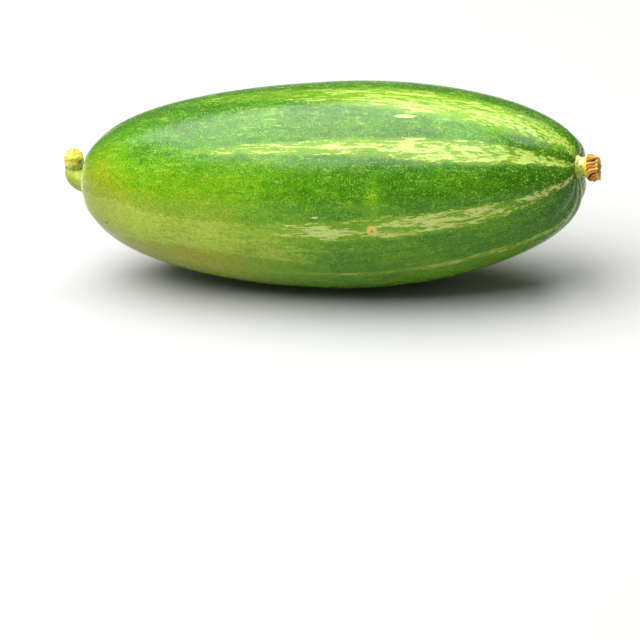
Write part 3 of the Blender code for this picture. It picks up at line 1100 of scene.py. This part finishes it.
def stalk_finish():
    """Soft green stalk with painted shade darkening its groove. Over the groove it is greyer, and then yellow
    at the cut.
    """
    stalk = Finish("stalk_skin")
    surface = stalk.surface_mm()
    round_place = stalk.stored("around", "Vector")
    way = stalk.stored("way")
    grain = stalk.noise(surface, 1.5, 4.0, 0.6)
    crumbs = stalk.noise(surface, 3.2, 3.0, 0.65)
    fibres = stalk.noise(stalk.scaled(round_place, (1.0, 1.0, 0.14)), 4.5, 3.0, 0.6)
    colour = stalk.ramp(stalk.reckon("ADD", grain, stalk.lean((fibres, 0.5))), STALK_GREENS)
    uneven_way = stalk.reckon("ADD", way, stalk.lean((grain, 0.6)))
    over_groove = stalk.step(uneven_way, STALK_GROOVE_WAY, STALK_GROOVE_WAY + 0.5)
    colour = stalk.mix(stalk.reckon("MULTIPLY", over_groove, 0.75), colour, STALK_GREY)
    # Painted shade: the groove is darkened where shade falls into it.
    off_groove = stalk.reckon("ABSOLUTE", stalk.reckon("SUBTRACT", way, STALK_GROOVE_WAY))
    off_groove = stalk.reckon("ADD", off_groove, stalk.lean((crumbs, 0.9), (grain, 0.6)))
    colour = stalk.mix(stalk.step(off_groove, 0.26, 0.02, 0.0, 0.8), colour, GROOVE_PAINTED_SHADE)
    yellows = stalk.ramp(stalk.reckon("ADD", crumbs, stalk.lean((grain, 0.7))), CUT_YELLOWS)
    cut_height = stalk.reckon("ADD", way, stalk.reckon("MULTIPLY", stalk.stored("outer"), 0.75))
    cut_height = stalk.reckon("ADD", cut_height, stalk.lean((grain, 1.6), (crumbs, 1.0)))
    colour = stalk.mix(stalk.step(cut_height, 5.05, 5.45), colour, yellows)
    notch = stalk.gap(round_place, notch_place(), STALK_NOTCH["size"])
    notch = stalk.reckon("ADD", notch, stalk.lean((crumbs, 1.2)))
    colour = stalk.mix(stalk.step(notch, 1.2, 0.6, 0.0, 0.9), colour, NOTCH_BROWN)
    stalk.feed(stalk.shader.inputs["Base Color"], colour)
    stalk.feed(stalk.shader.inputs["Roughness"], stalk.step(grain, 0.3, 0.7, 0.48, 0.66))
    stalk.bump(fibres, 0.05 * MM)
    stalk.bump(crumbs, 0.04 * MM)
    return stalk.material


# The dry tissue's browns, from the ridges to the bottom of a fold: partly its own browns, partly painted
# shade in the folds.
DRY_BROWNS_AND_FOLD_SHADE = (
    (0.05, (0.680, 0.410, 0.085, 1.0)),
    (0.30, (0.600, 0.265, 0.030, 1.0)),
    (0.52, (0.400, 0.145, 0.014, 1.0)),
    (0.74, (0.210, 0.070, 0.007, 1.0)),
    (1.00, (0.060, 0.020, 0.003, 1.0)),
)
COLLAR_GREENS = (
    (0.30, (0.190, 0.230, 0.010, 1.0)),
    (0.50, (0.290, 0.350, 0.028, 1.0)),
    (0.70, (0.420, 0.470, 0.090, 1.0)),
)
# Painted light: the cream that the top of the collar is given, as if lit from above.
COLLAR_TOP_PAINTED_LIGHT = (0.540, 0.560, 0.230, 1.0)
DRY_YELLOW = (0.700, 0.520, 0.022, 1.0)
DRY_GOLD = (0.640, 0.450, 0.120, 1.0)
END_BROWN = (0.330, 0.150, 0.026, 1.0)
DRY_IOR = 1.38


def dry_tissue():
    """A fresh collar, green with painted light making its top cream, a yellow line, and dry fibres with
    painted shade in their folds and a golden rim.
    """
    dry = Finish("dry_flower_tissue")
    surface = dry.surface_mm()
    way = dry.stored("way")
    height = dry.stored("height")
    line = dry.stored("fibre", "Vector")
    fibres = dry.noise(dry.scaled(line, (1.0, 1.0, 0.16)), 3.4, 3.0, 0.6)
    threads = dry.noise(dry.scaled(line, (1.0, 1.0, 0.10)), 9.0, 2.0, 0.6)
    grain = dry.noise(surface, 2.2, 3.0, 0.6)
    # Darker the deeper in a fold: the dry tissue's own browns, with painted shade in the folds.
    depth = dry.reckon("ADD", dry.stored("fold"), dry.lean((fibres, 1.3), (threads, 0.7), (grain, 0.5)))
    colour = dry.ramp(depth, DRY_BROWNS_AND_FOLD_SHADE)
    stub_end = (COLLAR_LENGTH + STUB_LENGTH) / MM
    rim_way = dry.reckon("ADD", way, dry.lean((threads, 0.5), (grain, 0.4)))
    colour = dry.mix(dry.step(rim_way, stub_end - 0.50, stub_end - 0.20, 0.0, 0.70), colour, DRY_GOLD)
    inwards = dry.reckon("ADD", dry.stored("inwards"), dry.lean((grain, 0.8), (threads, 0.4)))
    colour = dry.mix(dry.step(inwards, 0.22, 0.42, 0.0, 0.75), colour, END_BROWN)
    brown_from = COLLAR_LENGTH / MM
    edge_way = dry.reckon("ADD", way, dry.lean((grain, 0.5), (threads, 0.3)))
    fresh = dry.ramp(dry.reckon("ADD", grain, dry.lean((fibres, 0.8))), COLLAR_GREENS)
    # Painted light: the upper side of the collar is made cream by its height, as if lit from above.
    top = dry.step(dry.reckon("ADD", height, dry.lean((grain, 1.4), (fibres, 0.8))), 0.30, 0.75)
    fresh = dry.mix(top, fresh, COLLAR_TOP_PAINTED_LIGHT)
    yellow = dry.step(edge_way, brown_from - 0.35, brown_from - 0.10)
    fresh = dry.mix(dry.reckon("MULTIPLY", yellow, dry.step(height, -0.9, 0.2)), fresh, DRY_YELLOW)
    colour = dry.mix(dry.step(edge_way, brown_from + 0.12, brown_from + 0.40), fresh, colour)
    dry.feed(dry.shader.inputs["Base Color"], colour)
    dry.feed(dry.shader.inputs["Roughness"], dry.step(fibres, 0.3, 0.7, 0.42, 0.66))
    dry.shader.inputs["IOR"].default_value = DRY_IOR
    dry.bump(threads, 0.05 * MM)
    dry.bump(fibres, 0.06 * MM)
    return dry.material


def make_camera():
    """The camera looks down from the flower end's side, rolled so that the gourd slopes up to the right."""
    azimuth, elevation = math.radians(CAMERA_AZIMUTH), math.radians(CAMERA_ELEVATION)
    level = math.cos(elevation)
    back = Vector((math.sin(azimuth) * level, -math.cos(azimuth) * level, math.sin(elevation)))
    level_right = Vector((math.cos(azimuth), math.sin(azimuth), 0))
    level_up = back.cross(level_right)
    roll = math.radians(CAMERA_ROLL)
    right = level_right * math.cos(roll) + level_up * math.sin(roll)
    up = level_up * math.cos(roll) - level_right * math.sin(roll)
    pixels_per_tangent = PICTURE_SIZE * CAMERA_LENS / SENSOR
    aside = (GOURD_AT[0] - PICTURE_SIZE / 2) / pixels_per_tangent
    above = (PICTURE_SIZE / 2 - GOURD_AT[1]) / pixels_per_tangent
    turned_back = (back + right * aside + up * above).normalized()
    turned_up = (up - turned_back * up.dot(turned_back)).normalized()
    turned_right = turned_up.cross(turned_back)
    start_clean()
    bpy.ops.object.camera_add()
    camera = bpy.context.active_object
    camera.data.lens = CAMERA_LENS
    camera.data.sensor_width = SENSOR
    camera.data.clip_start = 0.01
    axes = Matrix((turned_right, turned_up, turned_back)).transposed().to_4x4()
    camera.matrix_world = Matrix.Translation(AXIS_MIDDLE + back * CAMERA_DISTANCE) @ axes
    bpy.context.scene.camera = camera


def make_floor():
    start_clean()
    bpy.ops.mesh.primitive_plane_add(size=FLOOR_SIZE)
    floor = bpy.context.active_object
    floor.name = "pale_floor"
    paper = Finish("pale_floor_paper")
    paper.shader.inputs["Base Color"].default_value = FLOOR_COLOUR
    paper.shader.inputs["Roughness"].default_value = 0.9
    floor.data.materials.append(paper.material)


def make_soft_box(edges):
    """A rectangular light that faces the floor. Its power follows from how bright its face is."""
    azimuth = math.radians(CAMERA_AZIMUTH)
    rightwards = Vector((math.cos(azimuth), math.sin(azimuth), 0))
    towards = Vector((math.sin(azimuth), -math.cos(azimuth), 0))
    left, right = edges["rightwards"]
    far, near = edges["towards"]
    centre = rightwards * (left + right) / 2 + towards * (far + near) / 2 + Vector((0, 0, SOFT_BOX_HEIGHT))
    start_clean()
    bpy.ops.object.light_add(type="AREA", location=centre, rotation=(0, 0, azimuth))
    box = bpy.context.active_object
    box.data.shape = "RECTANGLE"
    box.data.size = right - left
    box.data.size_y = near - far
    box.data.energy = SOFT_BOX_RADIANCE * math.pi * (right - left) * (near - far)


def light_room():
    world = bpy.data.worlds.new("pale_room")
    bpy.context.scene.world = world
    world.use_nodes = True
    room = world.node_tree.nodes["Background"]
    room.inputs["Color"].default_value = (1.0, 1.0, 1.0, 1.0)
    room.inputs["Strength"].default_value = ROOM_LIGHT
    bpy.context.scene.view_settings.view_transform = "Standard"


make_camera()
make_floor()
for box_edges in SOFT_BOXES:
    make_soft_box(box_edges)
light_room()
make_fruit()
make_stalk()
make_flower_base()
